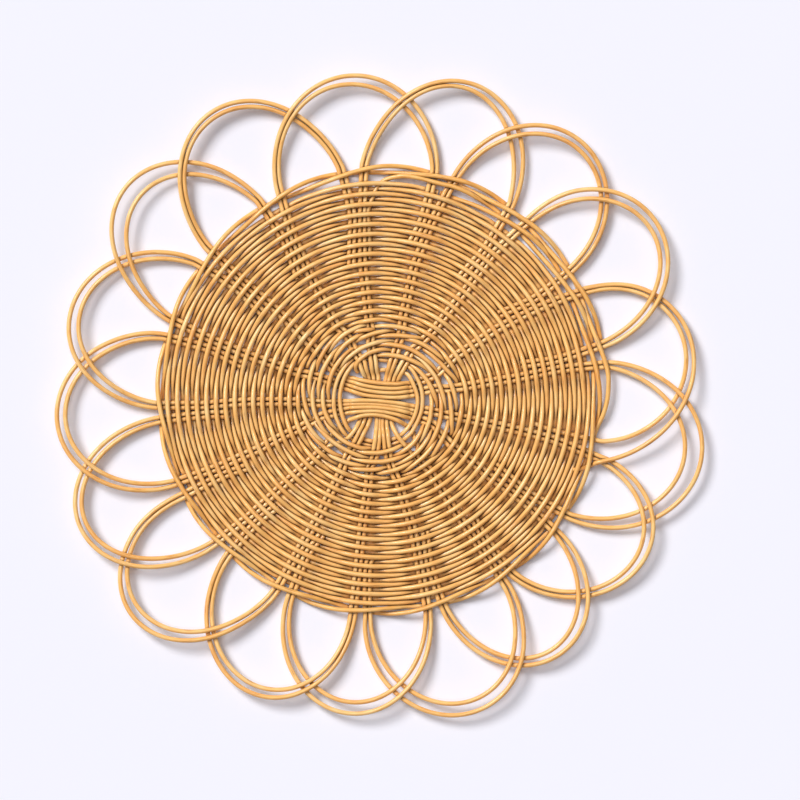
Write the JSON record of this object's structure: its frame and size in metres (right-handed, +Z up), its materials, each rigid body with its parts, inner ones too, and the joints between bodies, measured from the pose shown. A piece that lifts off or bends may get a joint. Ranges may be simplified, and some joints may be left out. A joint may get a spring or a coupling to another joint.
{
  "type": "rattan placemat",
  "caption": "Round flat placemat woven from rattan cane, with a crossed hub, a twined rim and a border of overlapping looped petals.",
  "frame": {"origin": "middle of the mat's own outline box, on the surface that it lies on", "axes": "+Z up through the mat, its shortest extent; the nine upper canes of the hub's cross run along X and +Y is the top of the mat as pictured"},
  "size_m": [0.3884, 0.3854, 0.0078],
  "materials": {
    "weave": "peeled rattan core, clear satin varnish",
    "rim": "peeled rattan core, clear satin varnish",
    "hub": "peeled rattan core, clear satin varnish",
    "petals": "peeled rattan core, clear satin varnish"
  },
  "bodies": {
    "root": {"woven_disc": "weave", "rim_strand_a": "rim", "rim_strand_b": "rim", "hub_wrap": "hub", "cross_over_1": "hub", "cross_over_2": "hub", "cross_over_3": "hub", "cross_over_4": "hub", "cross_over_5": "hub", "cross_over_6": "hub", "cross_over_7": "hub", "cross_over_8": "hub", "cross_over_9": "hub", "cross_under_1": "hub", "cross_under_2": "hub", "cross_under_3": "hub", "cross_under_4": "hub", "cross_under_5": "hub", "cross_under_6": "hub", "cross_under_7": "hub", "cross_under_8": "hub", "petal_01_outer": "petals", "petal_01_inner": "petals", "petal_02_outer": "petals", "petal_02_inner": "petals", "petal_03_outer": "petals", "petal_03_inner": "petals", "petal_04_outer": "petals", "petal_04_inner": "petals", "petal_05_outer": "petals", "petal_05_inner": "petals", "petal_06_outer": "petals", "petal_06_inner": "petals", "petal_07_outer": "petals", "petal_07_inner": "petals", "petal_08_outer": "petals", "petal_08_inner": "petals", "petal_09_outer": "petals", "petal_09_inner": "petals", "petal_10_outer": "petals", "petal_10_inner": "petals", "petal_11_outer": "petals", "petal_11_inner": "petals", "petal_12_outer": "petals", "petal_12_inner": "petals", "petal_13_outer": "petals", "petal_13_inner": "petals", "petal_14_outer": "petals", "petal_14_inner": "petals", "petal_15_outer": "petals", "petal_15_inner": "petals", "petal_16_outer": "petals", "petal_16_inner": "petals", "petal_17_outer": "petals", "petal_17_inner": "petals"}
  },
  "joints": []
}
